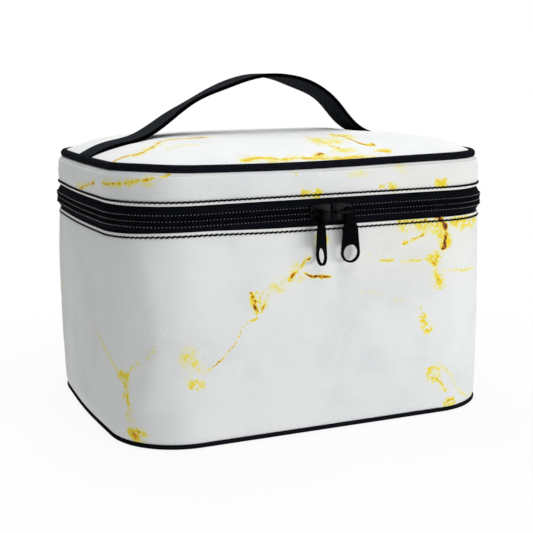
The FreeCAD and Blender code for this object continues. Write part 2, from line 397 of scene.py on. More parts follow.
class Thread:
    """A socket of a material; sums on it add Math nodes."""

    def __init__(self, tree, socket=None):
        self.tree = tree
        self.socket = socket

    def node(self, kind, settings=None, sockets=None, out=0):
        """Adds a node, sets it, links or fills its sockets and gives one of its outputs."""
        made = self.tree.nodes.new(kind)
        for name, value in (settings or {}).items():
            if name == "stops":
                ramp = made.color_ramp.elements
                for spot, colour in value[len(ramp):]:
                    ramp.new(spot)
                for element, (spot, colour) in zip(ramp, value):
                    element.position = spot
                    element.color = (*colour, 1)
            elif name == "bends":
                line = made.mapping.curves[0]
                for spot in value[1:-1]:
                    line.points.new(*spot)
                line.points[0].location = value[0]
                line.points[-1].location = value[-1]
                made.mapping.update()
            else:
                setattr(made, name, value)
        for name, value in (sockets or {}).items():
            if isinstance(value, Thread):
                self.tree.links.new(value.socket, made.inputs[name])
            else:
                made.inputs[name].default_value = value
        return Thread(self.tree, made.outputs[out])

    __add__ = sum_node("ADD")
    __radd__ = sum_node("ADD", reflected=True)
    __sub__ = sum_node("SUBTRACT")
    __rsub__ = sum_node("SUBTRACT", reflected=True)
    __mul__ = sum_node("MULTIPLY")
    __rmul__ = sum_node("MULTIPLY", reflected=True)
    __truediv__ = sum_node("DIVIDE")
    __rtruediv__ = sum_node("DIVIDE", reflected=True)
    __abs__ = sum_node("ABSOLUTE")
    most = sum_node("MAXIMUM")
    sine = sum_node("SINE")

    def rise(self, low, high, start=0.0, end=1.0):
        """The start below low, the end above high, smooth between."""
        return self.node("ShaderNodeMapRange", {"interpolation_type": "SMOOTHSTEP"},
                         {0: self, 1: low, 2: high, 3: start, 4: end})

    def fall(self, low, high):
        return self.rise(low, high, 1.0, 0.0)

    def colours(self, *stops):
        return self.node("ShaderNodeValToRGB", {"stops": stops}, {0: self})

    def mix(self, low, high):
        """Colour low where this is 0, colour high where it is 1."""
        ends = [end if isinstance(end, Thread) else (*end, 1) for end in (low, high)]
        return self.node("ShaderNodeMix", {"data_type": "RGBA"}, {0: self, 6: ends[0], 7: ends[1]}, 2)

    def seen(self):
        """1 where the camera sees a thing itself, in a mirror or through glass."""
        kinds = "Is Camera Ray", "Is Glossy Ray", "Is Transmission Ray"
        camera, glossy, clear = [self.node("ShaderNodeLightPath", out=kind) for kind in kinds]
        return camera.most(glossy).most(clear)


class Finish:
    """A material being made: its coordinates, its noises and its shader."""

    def __init__(self, name):
        self.material = bpy.data.materials.new(name)
        self.material.use_nodes = True
        tree = self.material.node_tree
        tree.nodes.clear()
        self.end = tree.nodes.new("ShaderNodeOutputMaterial")
        self.any = Thread(tree)
        self.object = self.any.node("ShaderNodeTexCoord", out=3)

    def split(self, vector):
        return [self.any.node("ShaderNodeSeparateXYZ", None, {0: vector}, k) for k in range(3)]

    def run(self):
        """The piece's own map: way round and way across, in metres."""
        return self.any.node("ShaderNodeUVMap", {"uv_map": "run"})

    def noise(self, scale, detail=2.0, roughness=0.5, out=0):
        return self.any.node("ShaderNodeTexNoise", None, {
            "Vector": self.object, "Scale": scale, "Detail": detail, "Roughness": roughness}, out)

    def show(self, shader):
        """Makes a shader the one that the material shows."""
        self.any.tree.links.new(shader.socket, self.end.inputs[0])
        return self.material

    def shade(self, colour, roughness, height, strength, distance, gloss=0.5, sheen=0.0):
        bump = self.any.node("ShaderNodeBump", None, {
            "Height": height, "Strength": strength, "Distance": distance})
        return self.show(self.any.node("ShaderNodeBsdfPrincipled", None, {
            "Base Color": colour, "Roughness": roughness, "Normal": bump,
            "Specular IOR Level": gloss, "Sheen Weight": sheen}))


# Colours of the print: its ground on the walls and on the lid, the lid's made lighter as painted light from
# above; a white for painted highlights on the hems; and its ink from pale to dark.
WHITE = (0.80, 0.81, 0.81)
GREY = (0.69, 0.705, 0.715)
# On the lid the ground is lighter than on the walls: painted light on the top.
LID_LIT_WHITE = (0.87, 0.875, 0.875)
LID_LIT_GREY = (0.80, 0.81, 0.815)
WARM_WHITE = (0.80, 0.79, 0.70)
# Painted highlight on the hems beside the zip and under the lid piping.
HEM_HIGHLIGHT_WHITE = (0.90, 0.90, 0.89)
PALE = (0.84, 0.80, 0.44)
LEMON = (0.84, 0.75, 0.06)
GOLD = (0.84, 0.60, 0.012)
AMBER = (0.60, 0.20, 0.004)
RUST = (0.20, 0.036, 0.003)
DARK = (0.030, 0.006, 0.003)

# Gold veins of the printed marble, in millimetres: points, half width, how dark, how much of it is missing.
# On the walls a point is (way round from the middle of the front, height).
SIDE_VEINS = [
    ([(-23, 84.5), (-16, 89), (-13, 92.5), (-9.5, 95)], 1.8, 0.70, 0.0),
    ([(-34.5, 79), (-27.5, 83), (-23.5, 85.5)], 2.6, 0.34, 0.3),
    ([(-14.5, 87.5), (-11, 86), (-6, 85), (-1.5, 84.5), (2.5, 83.5)], 1.0, 0.95, 0.05),
    ([(-43.5, 76.5), (-39.5, 74.5), (-35.5, 76)], 1.8, 0.6, 0.1),
    ([(-66, 43), (-61.5, 46), (-56.5, 51), (-50.5, 58.5), (-48.5, 62.5), (-42.5, 65.5), (-40, 66)],
     0.8, 0.76, 0.2),
    ([(-75, 41.5), (-70.5, 42), (-66, 43)], 1.4, 0.32, 0.2),
    ([(-114, 38.5), (-105, 45), (-98.5, 50.5), (-94.5, 55)], 1.7, 0.33, 0.25),
    ([(65, 111), (66, 112), (68, 110)], 1.6, 0.95, 0.0),
    ([(41.5, 110.5), (46.5, 110), (52, 110), (57.5, 110.5), (61.5, 110.5)], 1.2, 0.78, 0.3),
    ([(73.5, 106.5), (80, 107), (90, 107.5), (104, 106)], 2.6, 0.44, 0.15),
    ([(45, 99), (48.5, 100), (51.5, 100.5), (55, 102), (59, 102.5)], 1.1, 0.55, 0.0),
    ([(23.5, 93), (25.5, 93)], 1.0, 0.4, 0.0),
    ([(30.5, 91.5), (35.5, 91), (40.5, 90.5)], 1.0, 0.46, 0.1),
    ([(44, 89), (50.5, 88), (56.5, 88), (63, 89.5)], 1.1, 0.42, 0.2),
    ([(69.5, 80.5), (74.5, 81.5), (84, 81), (100, 80)], 0.9, 0.36, 0.05),
    ([(67.5, 29.5), (76, 23), (81.5, 14), (92, 5.5), (104, 4)], 0.8, 0.27, 0.0),
    ([(73, 3.5), (77, 7), (81, 4)], 1.1, 0.64, 0.0),
    ([(18.5, 75), (29.5, 72.5), (43, 67.5), (56, 62.5)], 0.9, 0.25, 0.3),
    ([(-183.5, 127.5), (-163.5, 131), (-143.5, 135.5)], 1.4, 0.64, 0.15),
    ([(-132, 136.5), (-120.5, 136.5), (-111, 137), (-103.5, 137.5), (-94, 140), (-82.5, 142)],
     1.3, 0.6, 0.15),
    ([(-15.5, 130), (-11.5, 128.5), (-4, 127.5)], 2.2, 0.42, 0.0),
    ([(30, 131), (35, 130), (38, 129), (40.5, 126.5)], 1.4, 0.44, 0.0),
    ([(65, 134.5), (68, 130.5), (73, 128.5)], 1.4, 0.42, 0.0),
    ([(-19, 141.5), (-16.5, 139.5)], 1.0, 0.55, 0.0),
    ([(112, 97), (132, 84), (143, 80), (152, 66), (168, 58), (181, 44), (196, 40)], 1.0, 0.76, 0.15),
    ([(148, 100), (160, 103), (172, 101), (186, 104)], 1.5, 0.5, 0.2),
    ([(246, 20), (266, 34), (280, 38), (296, 52), (312, 58), (330, 74), (346, 78), (358, 92)],
     0.9, 0.78, 0.15),
    ([(300, 101), (312, 103), (328, 102), (342, 106)], 1.8, 0.5, 0.15),
    ([(-356, 46), (-340, 50), (-328, 60), (-312, 62), (-300, 74), (-284, 76)], 1.0, 0.74, 0.15),
    ([(-302, 100), (-285, 96), (-270, 99), (-254, 94)], 1.5, 0.5, 0.2),
    ([(-262, 58), (-248, 66), (-236, 64), (-224, 72)], 0.9, 0.6, 0.2),
    ([(128, 133), (145, 136), (160, 134), (178, 138)], 1.3, 0.6, 0.15),
    ([(-332, 131), (-312, 135), (-290, 134)], 1.3, 0.56, 0.15),
]
# Steep veins: a point is (height, way round).
STEEP_VEINS = [
    ([(67.5, -41), (75.5, -43), (80, -44)], 1.4, 0.86, 0.1),
    ([(67.5, -39.5), (73.5, -37), (78, -34.5)], 1.4, 0.86, 0.1),
    ([(4, -105), (11.5, -111), (19.5, -111.5), (30, -114), (37.5, -115), (42, -122), (51.5, -136),
      (57, -150)],
     1.7, 0.44, 0.1),
    ([(93, 70.5), (97, 71), (100.5, 72.5), (105, 72), (108.5, 69.5), (113, 66.5)], 2.0, 0.92, 0.0),
    ([(70.5, 68.5), (74.5, 68.5), (78.5, 67.5), (82.5, 66.5), (86.5, 65.5), (92, 64.5)], 2.8, 0.44, 0.0),
    ([(44.5, 57.5), (50, 61), (56, 58.5), (63, 57), (68, 62)], 1.7, 0.42, 0.4),
    ([(11.5, 74.5), (15.5, 72), (19, 69), (23, 65), (27, 61.5)], 2.2, 0.42, 0.1),
    ([(4, 207), (14, 204), (26, 199), (38, 201), (48, 196)], 1.9, 0.44, 0.1),
    ([(8, 337), (18, 333), (30, 335), (42, 330), (55, 332)], 1.8, 0.44, 0.2),
    ([(5, -270), (16, -266), (28, -268), (38, -262)], 1.8, 0.46, 0.1),
]
# Blots of yellow: way round, height, half width, half height, strength.
SIDE_BLOTS = [
    (-108, 7, 9, 8, 0.62), (-111, 16, 5, 9, 0.42), (-114.5, 37, 7, 6, 0.46), (-114, 29, 5, 7, 0.44),
    (-78, 47, 8, 13, 0.36), (-75, 34, 7, 5, 0.46), (-39.5, 75, 7, 8, 0.62), (-28, 82, 9, 7, 0.30),
    (52, 108, 17, 6, 0.46), (86, 107, 20, 7, 0.52), (63, 106, 11, 7, 0.50), (71, 100, 7, 12, 0.50),
    (65, 88, 7, 7, 0.62), (60.5, 50.5, 6, 5, 0.62), (58, 56, 5, 5, 0.58), (65.5, 23, 7, 7, 0.56),
    (77, 5, 7, 5, 0.58), (-4, 104, 6, 7, 0.50), (-9.5, 129, 10, 4, 0.48), (37, 130, 8, 4, 0.44),
    (69, 131, 7, 4, 0.44), (-112, 137, 28, 4, 0.34), (-170, 130, 16, 5, 0.34), (18, 139, 13, 4, 0.26),
    (44, 140, 10, 4, 0.26), (-17, 88, 8, 8, 0.34), (199, 24, 8, 14, 0.48), (162, 102, 16, 6, 0.42),
    (142, 80, 9, 8, 0.46), (181, 45, 8, 7, 0.40), (282, 38, 9, 8, 0.46), (320, 103, 18, 6, 0.48),
    (333, 26, 7, 14, 0.44), (345, 78, 8, 7, 0.46), (-327, 60, 9, 8, 0.46), (-276, 98, 16, 6, 0.42),
    (-267, 20, 7, 13, 0.46), (152, 135, 18, 5, 0.36), (-312, 134, 16, 5, 0.36),
]
# On the lid a point is (to the right, to the back).
TOP_VEINS = [
    ([(-104.5, -50.5), (-99, -50), (-93, -55), (-85.5, -50.5), (-75, -37), (-67.5, -29), (-59, -31),
      (-44, -31)],
     2.9, 0.63, 0.0),
    ([(-46, -77.5), (-39, -76), (-27.5, -75), (-22.5, -77.5), (-14, -77), (-4.5, -77.5), (9.5, -79.5),
      (23, -79), (30, -82), (35.5, -81.5)],
     2.4, 0.44, 0.0),
    ([(-31, -79), (-27, -84), (-20.5, -80.5)], 1.6, 0.44, 0.0),
    ([(6, -40), (9.5, -52), (14, -63), (18, -67)], 2.6, 0.50, 0.1),
    ([(27, -36), (30, -50), (33, -59), (37, -64), (40, -63)], 3.6, 0.78, 0.0),
    ([(35, -71.5), (39, -75), (44.5, -74.5)], 2.0, 0.54, 0.05),
    ([(-2.5, -74.5), (1, -73), (4.5, -73.5)], 2.2, 0.60, 0.0),
    ([(-79.5, -59), (-64, -53.5), (-54.5, -50.5)], 2.0, 0.25, 0.3),
    ([(-30, 20), (-8, 34), (18, 36), (44, 56)], 1.8, 0.7, 0.2),
    ([(40, 10), (62, 2), (84, 14)], 1.6, 0.5, 0.3),
    ([(-86, 44), (-64, 52), (-42, 70)], 1.7, 0.6, 0.3),
]
TOP_BLOTS = [
    (-24.5, -80.5, 9, 5, 0.56), (13.5, -55, 17, 13, 0.50), (30, -46, 11, 13, 0.62), (40, -74, 9, 5, 0.58),
    (0.5, -74, 8, 4, 0.60), (-48, -31.5, 13, 6, 0.50), (-96, -52, 12, 6, 0.46), (18, -70, 15, 6, 0.46),
    (-82, -46, 12, 8, 0.46), (-66, -30, 12, 6, 0.46), (-14, -77, 16, 4, 0.46),
    (10, 36, 24, 12, 0.40), (70, 8, 18, 12, 0.36), (-64, 52, 20, 10, 0.36),
]


def marble_cloth(name, on_walls, along_veins, steep_veins, blots):
    """White printed cloth: grey clouds, gold ink at its places, and on the walls painted highlights along the
    hems.
    """
    finish = Finish(name)
    sway, fray = 4.5, 2.8
    ragged, least, wash = (1.8, 0.2, 0.7) if on_walls else (1.2, 0.45, 0.48)
    spot = finish.run() if on_walls else finish.object
    around, height = [axis * 1000.0 for axis in finish.split(spot)[:2]]
    coarse = finish.split(finish.noise(70, out=1))
    fine = finish.split(finish.noise(420, out=1))
    u, v = [axis + (coarse[k] - 0.5) * sway + (fine[k] - 0.5) * fray
            for k, axis in enumerate((around, height))]
    crumbs = finish.noise(640, 3.0, 0.65)
    gaps = finish.noise(150)
    ink = None
    for veins, along, across in ((along_veins, u, v), (steep_veins, v, u)):
        for points, width, dark, missing in veins:
            start, stop = points[0][0], points[-1][0]
            low = min(p[1] for p in points) - 1
            tall = max(p[1] for p in points) + 1 - low
            bends = [((a - start) / (stop - start), (b - low) / tall) for a, b in points]
            share = (along - start) / (stop - start)
            centre = finish.any.node("ShaderNodeFloatCurve", {"bends": bends}, {"Value": share})
            off = abs(across - (centre * tall + low)) / width
            ends = abs(share - 0.5).fall(0.44, 0.54)
            broken = (gaps + missing * 0.5).fall(0.60, 0.78)
            core = (off + (crumbs - 0.5) * ragged).fall(0.1, 1.2) * dark
            mark = core.most(off.fall(0.2, 3.6) * 0.22) * ends * broken
            ink = mark if ink is None else ink.most(mark)
    for along, across, wide, tall, strength in blots:
        beside, above = (u - along) / wide, (v - across) / tall
        ink = ink.most((beside * beside + above * above).fall(0.0, 1.0) * (strength * wash))
    ink = ink * ((crumbs * 0.5 + gaps * 0.5).rise(0.36, 0.62) * (1.25 - least) + least)
    gold = ink.colours((0.08, PALE), (0.26, LEMON), (0.42, GOLD), (0.56, AMBER), (0.72, RUST), (0.88, DARK))
    grain = finish.noise(1500, 1.0)
    clouds = (finish.noise(26, 3.0, 0.55) + (grain - 0.5) * 0.5).rise(0.40, 0.80)
    if on_walls:
        warm = (abs(u - 62.0) / 70.0).fall(0.1, 1.0) * (abs(v - 112.0) / 50.0).fall(0.1, 1.0)
        # Whiter near the zip and at the band's top under the piping: painted highlight on the hems.
        seam = abs(height - ZIP_Z / MM).fall(8.6, 9.0).most(height.rise(141.6, 142.2))
        ground = (warm * 0.5).mix(clouds.mix(WHITE, GREY), WARM_WHITE)
        ground = (seam * 0.7).mix(ground, HEM_HIGHLIGHT_WHITE)
    else:
        # Lighter ground of the lid: painted light from above.
        ground = clouds.mix(LID_LIT_WHITE, LID_LIT_GREY)
    colour = ink.rise(0.03, 0.34).mix(ground, gold)
    weave = (u * 11.0).sine() * (v * 11.0).sine()
    bumps = weave * 0.3 + grain * 1.2 + finish.noise(60) * 3.0
    rough = finish.noise(300) * 0.16 + 0.50
    return finish.shade(colour, rough, bumps, 0.16, 0.12 * MM, gloss=0.2, sheen=0.05)


def tones(colour, low, high):
    """A darker and a lighter tone of a colour."""
    return [tuple(c * share for c in colour) for share in (low, high)]


def black_twill(name, along_pitch, across_pitch, tone):
    """Black woven tape with slanting ribs, on the piece's own map; near the edges of a wide tape it is
    painted dark as shade.
    """
    finish = Finish(name)
    u, v = finish.split(finish.run())[:2]
    along = u * (math.tau / along_pitch)
    across = v * (math.tau / across_pitch)
    ribs = (along + across).sine().most((along - across).sine()) * 0.5 + 0.5
    fuzz = finish.noise(1500)
    worn = finish.noise(45)
    # The last millimetre or so at each edge of the webbing is painted dark: painted shade on its edges.
    light = (ribs * 0.8 + fuzz * 0.35 + worn * 0.25).rise(0.6, 1.2) * (abs(v) * 1000.0).fall(10.8, 11.8)
    colour = light.mix(*tones(tone, 0.2, 5.5))
    return finish.shade(colour, 0.66 + fuzz * 0.22, ribs + fuzz * 0.4, 1.0, 0.25 * MM, gloss=0.003)


def black_ribbed(name, pitch, tone, lengthwise):
    """Black tape with fine ribs."""
    finish = Finish(name)
    u, v = finish.split(finish.run())[:2]
    across, along = (v, u) if lengthwise else (u, v)
    ribs = (across * (math.tau / pitch)).sine()
    ticks = (along * (math.tau / (pitch * 1.3)) + ribs * 1.5).sine()
    cloth = ribs * 0.5 + ticks * 0.35 + 0.5
    fuzz = finish.noise(1300)
    worn = finish.noise(60)
    light = (cloth * 0.6 + fuzz * 0.4 + worn * 0.3).rise(0.1, 1.2)
    colour = light.mix(*tones(tone, 0.5, 1.6))
    return finish.shade(colour, 0.6 + fuzz * 0.25, cloth + fuzz * 0.5, 0.35, 0.15 * MM, gloss=0.003)


def plain_finish(name, low, high, scale, roughness, bump, gloss=0.5):
    """Two close tones that wander into each other, with a grain of that size."""
    finish = Finish(name)
    wander = finish.noise(scale, 3.0)
    grain = finish.noise(scale * 14)
    colour = (wander * 0.7 + grain * 0.3).rise(0.3, 0.7).mix(low, high)
    rough = roughness + (grain - 0.5) * 0.18
    return finish.shade(colour, rough, grain + wander, bump, 0.08 * MM, gloss)


def lining_cloth(name):
    """Dark woven lining with threads 0.7 mm apart."""
    finish = Finish(name)
    x, y, z = [axis * (math.tau / (0.7 * MM)) for axis in finish.split(finish.object)]
    threads = (x + y).sine() * 0.5 + z.sine() * 0.5
    wander = finish.noise(55, 3.0)
    colour = (threads * 0.12 + wander).rise(0.25, 0.8).mix((0.035, 0.036, 0.040), (0.075, 0.077, 0.083))
    return finish.shade(colour, 0.5 + wander * 0.2, threads * 0.3 + wander, 0.25, 0.2 * MM, sheen=0.15)


MARBLE_SIDE = marble_cloth("marble_side", True, SIDE_VEINS, STEEP_VEINS, SIDE_BLOTS)
MARBLE_TOP = marble_cloth("marble_top", False, TOP_VEINS, [], TOP_BLOTS)
PIPING_WEAVE = black_twill("piping_weave", 2.0 * MM, 2.41 * MM, (0.0024, 0.0027, 0.0038))
WEBBING = black_twill("webbing", 2.2 * MM, 3.6 * MM, (0.0058, 0.0065, 0.0082))
ZIP_TAPE = black_ribbed("zip_tape", 0.9 * MM, (0.0042, 0.005, 0.007), True)
BINDING = black_ribbed("binding", 1.1 * MM, (0.008, 0.0085, 0.0095), False)
COIL = plain_finish("zip_coil", (0.002, 0.002, 0.003), (0.005, 0.005, 0.007), 300, 0.45, 0.1, 0.012)
THREAD_BLACK = plain_finish("thread_black", (0.003, 0.003, 0.004), (0.009, 0.009, 0.01), 900, 0.65, 0.4, 0.01)
# Grey of the sewing thread, also used for dots that are painted highlight along the coil's slit.
THREAD_GREY_AND_HIGHLIGHT = plain_finish("thread_grey_and_highlight", (0.09, 0.09, 0.095), (0.19, 0.19, 0.20), 900, 0.5, 0.3, 0.1)
ENAMEL_TONES = (0.0006, 0.0007, 0.0014), (0.0018, 0.002, 0.003)
ENAMEL = plain_finish("enamel", *ENAMEL_TONES, 160, 0.3, 0.05, 0.008)
SLIDER_ENAMEL = plain_finish("slider_enamel", *ENAMEL_TONES, 160, 0.3, 0.05, 0.05)
LINING = lining_cloth("lining")
CORD = plain_finish("cord", (0.40, 0.40, 0.38), (0.55, 0.55, 0.52), 300, 0.8, 0.4)
FOAM = plain_finish("foam", (0.45, 0.45, 0.44), (0.62, 0.62, 0.60), 400, 0.85, 0.5)
BOARD = plain_finish("stiffener", (0.06, 0.06, 0.06), (0.10, 0.10, 0.10), 120, 0.6, 0.2)
BOTTOM_WEAVE = plain_finish("bottom_weave", (0.72, 0.73, 0.73), (0.80, 0.81, 0.81), 90, 0.6, 0.3)

plan_pieces = []


def dress(piece, material, body, slot, *nodes):
    """Gives a piece its finish, the body that it rides on and the solids that it stands for."""
    if body in ("base", "lid"):
        plan_pieces.append(piece)
    piece.data.materials.clear()
    piece.data.materials.append(material)
    if nodes:
        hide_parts(*nodes)
    if body:
        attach(piece, body)
    return piece


# Soft creases, in millimetres: way round, height, slope in degrees, half length, half width, push.
BODY_CREASES = [
    (-101, 98, 105, 14, 6, 0.8), (-96, 74, 97, 20, 6, 1.0), (-95.5, 50, 84, 18, 6, 1.0),
    (-101, 27, 68, 16, 6, 0.9), (-85, 11, 0, 24, 5, 0.9), (-85, 20, 3, 24, 3.5, -0.6),
    (84, 8, 30, 14, 4, 0.7), (92, 17, 35, 16, 4, -0.5), (40, 84, 20, 16, 7, -0.5),
    (5, 82, 95, 12, 3, -0.45), (10, 80, 85, 12, 3, 0.3), (101, 60, 90, 40, 7, 0.6),
    (262, 55, 88, 40, 7, 0.7), (-262, 55, 92, 40, 7, 0.7), (330, 12, 2, 40, 5, 0.7),
    (-300, 18, 4, 36, 4, -0.5), (170, 11, 0, 34, 5, 0.8), (-180, 12, 0, 34, 5, 0.7),
]
BAND_CREASES = [
    (-62, 141, 0, 45, 5, 0.6), (-62, 130, 0, 45, 4, -0.6), (-86, 140, 18, 9, 1.8, -0.55),
    (-88, 135.5, 12, 10, 2.4, 0.45), (-40, 133, 5, 12, 3, 0.3), (92, 138, -25, 10, 3, -0.7),
    (130, 136, -10, 12, 2.5, -0.4), (-250, 135, 8, 14, 2.5, -0.4), (280, 136, -8, 12, 2.5, 0.4),
]


def creased(s, z, creases):
    """How far the creases push the cloth out, at ways round and heights."""
    push = np.zeros(len(s))
    for way, height, slope, length, width, deep in creases:
        across, up = s / MM - way, z / MM - height
        turn = math.radians(slope)
        along = (across * math.cos(turn) + up * math.sin(turn)) / length
        beside = (up * math.cos(turn) - across * math.sin(turn)) / width
        push += deep * MM * np.exp(-along * along - beside * beside)
    return push


def ripple(s, z, size, seed):
    return np.array([noise.noise(Vector((a, b, seed))) for a, b in zip(s / size, z / size)])


def stitch_dip(z, row):
    """How far a row of stitches draws the cloth in."""
    return 0.22 * MM * np.exp(-((z - row) / (0.6 * MM)) ** 2)


def body_shape(s, z):
    """How far the body cloth stands out: full low down, drawn in at the hem and the bottom seam."""
    height = z / BODY_TOP
    full = np.sin(math.pi * kept(height / 0.86)) ** 1.2
    flat = np.cos(kept(abs(s) / STRAIGHT_X) * math.pi / 2)
    push = 0.9 * MM * full * flat
    away = kept((abs(s) - STRAIGHT_X - 0.4 * CORNER_RUN) / (40 * MM))
    push += 1.8 * MM * away * np.sin(math.pi * kept(height)) ** 0.8
    soft = kept((BODY_TOP - z) / (25 * MM)) * kept(z / (15 * MM))
    push += (0.55 * MM * ripple(s, z, 42 * MM, 1.7) + 0.16 * MM * ripple(s, z, 15 * MM, 5.1)) * soft
    push += creased(s, z, BODY_CREASES) * kept((BODY_TOP - z) / (10 * MM))
    push -= 0.7 * MM * np.maximum(0, 1 - (z - WALL_FOOT) / (5 * MM)) ** 2
    return push - stitch_dip(z, HEM_STITCH_LOW)


def band_shape(s, z):
    """How far the lid band stands out: a soft roll between its stitched hem and the piping."""
    height = (z - LID_FOOT) / (LID_SEAM - LID_FOOT)
    soft = np.sin(math.pi * kept(height))
    push = (0.5 * MM + 0.45 * MM * ripple(s, z * 2, 30 * MM, 9.3) + creased(s, z, BAND_CREASES)) * soft
    push -= 1.5 * MM * np.maximum(0, 1 - (LID_SEAM - 0.5 * MM - z) / (2.6 * MM)) ** 2
    push -= 0.4 * MM + 0.5 * MM * np.maximum(0, height) ** 2
    return push - stitch_dip(z, HEM_STITCH_HIGH)


def tape_shape(s, z):
    """How far the zip tape stands out: it swells from the hems towards the coil."""
    near = kept((7.2 * MM - abs(z - ZIP_Z)) / (4 * MM))
    sunk = kept((PERIMETER / 2 - 68 * MM - abs(s)) / (8 * MM))
    return 1.7 * MM * ease(near) * sunk - 0.1 * MM * (1 - sunk)


hem_steps = [0.0, 0.5, 1.0, 1.4, 1.9, 2.4, 2.9, 3.8, 5.2]
body_rows = [WALL_FOOT + step * MM for step in (0, 0.8, 1.8, 3.0, 4.6)]
body_rows += list(np.arange(10.5, 105, 2.7) * MM) + [BODY_TOP - step * MM for step in hem_steps[::-1]]
band_steps = hem_steps + [7, 9, 11, 12.6, 13.8, 14.7, 15.3, 15.9, 16.5, 17.2]
band_rows = [LID_FOOT + step * MM for step in band_steps]
for name, heights, shape, body, wide, foam in (
        ("body_wall", body_rows, body_shape, "base", BODY_TOP - WALL_FOOT, "body_foam_layer"),
        ("lid_band", band_rows, band_shape, "lid", LID_SEAM - LID_FOOT, "band_foam_layer")):
    wall = wall_ring(name, 0, heights, CLOTH, FINE, edge=0.3 * MM, shape=shape)
    dress(wall, MARBLE_SIDE, body, "print_cloth", name + "_cloth")

# Inset and height of the middle of each piping; its radius and column widths are in millimetres.
LID_PIPING = 4.2 * MM, 144.4 * MM
BOTTOM_PIPING = 1.0 * MM, 1.4 * MM
for name, line, radius, column, sides, material, body, slot, node in (
        ("lid_piping_tube", LID_PIPING, 2.3, 2.4, 16, PIPING_WEAVE, "lid", "piping", "lid_piping"),
        ("bottom_piping_tube", BOTTOM_PIPING, 1.3, 2.4, 12, PIPING_WEAVE, "base", "piping", "bottom_piping"),
        ("lid_piping_core", LID_PIPING, 1.6, 4, 8, CORD, "lid", "cord", "lid_piping_cord"),
        ("bottom_piping_core", BOTTOM_PIPING, 0.8, 4, 8, CORD, "base", "cord", "bottom_piping_cord")):
    dress(plan_tube(name, *line, radius * MM, column * MM, sides), material, body, slot, node)
for name, heights, body, node in (("body_foam_layer", rows(4.2, 111.4, 12), "base", "body_foam"),
                                  ("band_foam_layer", rows(126.1, 141.5, 5), "lid", "lid_band_foam")):
    dress(wall_ring(name, FOAM_INSET, heights, FOAM_THICK, COARSE), FOAM, body, "foam", node)

TAPE_THICK = 0.6 * MM
TAPE_GAP = 60 * MM
tape_rows_low = [z * MM for z in (105.5, 108.5, 111.5, 112.4, 113.3, 114.2, 115.1, 116, 117, 118.15)]
tape_rows_high = [z * MM for z in (119.35, 120.5, 121.5, 122.4, 123.3, 124.2, 125.1, 126, 129, 132)]
for name, body, heights, node, cloth in (
        ("zip_tape_low", "base", tape_rows_low, "zip_tape_lower", "body_wall"),
        ("zip_tape_high", "lid", tape_rows_high, "zip_tape_upper", "lid_band")):
    tape = wall_ring(name, CLOTH, heights, TAPE_THICK, open_back=TAPE_GAP, shape=tape_shape)
    dress(tape, ZIP_TAPE, body, "zip_tape", node)


def coil_turn():
    """One turn of the zip coil: a bent bead with its head towards the slit, lying along +Z."""
    half = 1.5 * MM
    unit = basic("uv_sphere", "coil_turn", (0.62 * MM, 1.08 * MM, half), segments=8, ring_count=7)
    spots = places(unit)
    reach = spots[:, 2] / half
    spots[:, 0] = (spots[:, 0] + 0.22 * MM * reach) * (1 + 0.25 * kept(reach))
    spots[:, 1] = np.minimum(spots[:, 1], 1.05 * MM)
    put(unit, spots)
    return unit


def stitch(length, thick):
    """One stitch of thread: a short round bar with sunken ends, lying along X."""
    unit = basic("cylinder", "stitch", vertices=6, radius=thick / 2, depth=length,
                 rotation=(0, math.pi / 2, 0))
    edit_mode()
    for end in (-1, 1):
        pick(unit, "faces", lambda f: f.normal.x * end > 0.9)
        extrude(end * 0.4 * thick, 0.45 * thick, 0)
        bpy.ops.transform.resize(value=(1, 0.45, 0.45))
    object_mode()
    return unit


ZIP_END = PERIMETER / 2 - 66.5 * MM
HEM_END = PERIMETER / 2 - 0.2 * MM
STITCH_PITCH = 2.75 * MM
COIL_PITCH = 1.85 * MM
COIL_OFFSET = 1.85 * MM
COIL_INSET = -0.35 * MM
# Length and thickness of a stitch.
COIL_STITCH = 0.28 * MM, 0.55 * MM
HEM_STITCH = 2.05 * MM, 1.1 * MM
HINGE_STITCH = 2.0 * MM, 0.9 * MM
HEM_SLANT = 0.2


def along_zip(pitch, height, inset, shift=0.0, limit=ZIP_END, sink=2.2 * MM):
    """Places along the zip; its last ones sink under the cloth of the hinge."""
    spots = []
    for step in range(int(2 * limit / pitch) + 1):
        run = -limit + (step + shift) * pitch
        if abs(run) > limit:
            continue
        end = max(0.0, 1 - (limit - abs(run)) / (8 * MM))
        spot, out = plan_place(run, inset + sink * end * end)
        spot.z = height
        spots.append((spot, out))
    return spots


for name, body, way, shift, node in (("zip_coil_low", "base", -1, 0.0, "zip_coil_lower"),
                                     ("zip_coil_high", "lid", 1, 0.5, "zip_coil_upper")):
    unit = coil_turn()
    if way > 0:
        unit.data.transform(Matrix.Scale(-1, 4, (0, 0, 1)))
        unit.data.flip_normals()
    spots = along_zip(COIL_PITCH, ZIP_Z + way * COIL_OFFSET, COIL_INSET, shift)
    dress(repeat_along(name, unit, spots), COIL, body, "zip_coil", node)

# Sewing of the coils, and on the lower coil a row of grey dots at the slit that is painted highlight on the
# meeting heads of the coil; in millimetres: height from the slit and inset of each row.
for name, body, shift, lines in (("coil_thread_and_highlight_low", "base", 0.5, ((-2.95, -1.3), (-0.15, -1.0))),
                                 ("coil_thread_high", "lid", 0.0, ((2.95, -1.3),))):
    made = []
    for height, inset in lines:
        spots = along_zip(COIL_PITCH, ZIP_Z + height * MM, inset * MM, shift)
        made.append(repeat_along(name + str(height), stitch(*COIL_STITCH), spots))
    dress(join(name, made), THREAD_GREY_AND_HIGHLIGHT, body, "zip_coil")

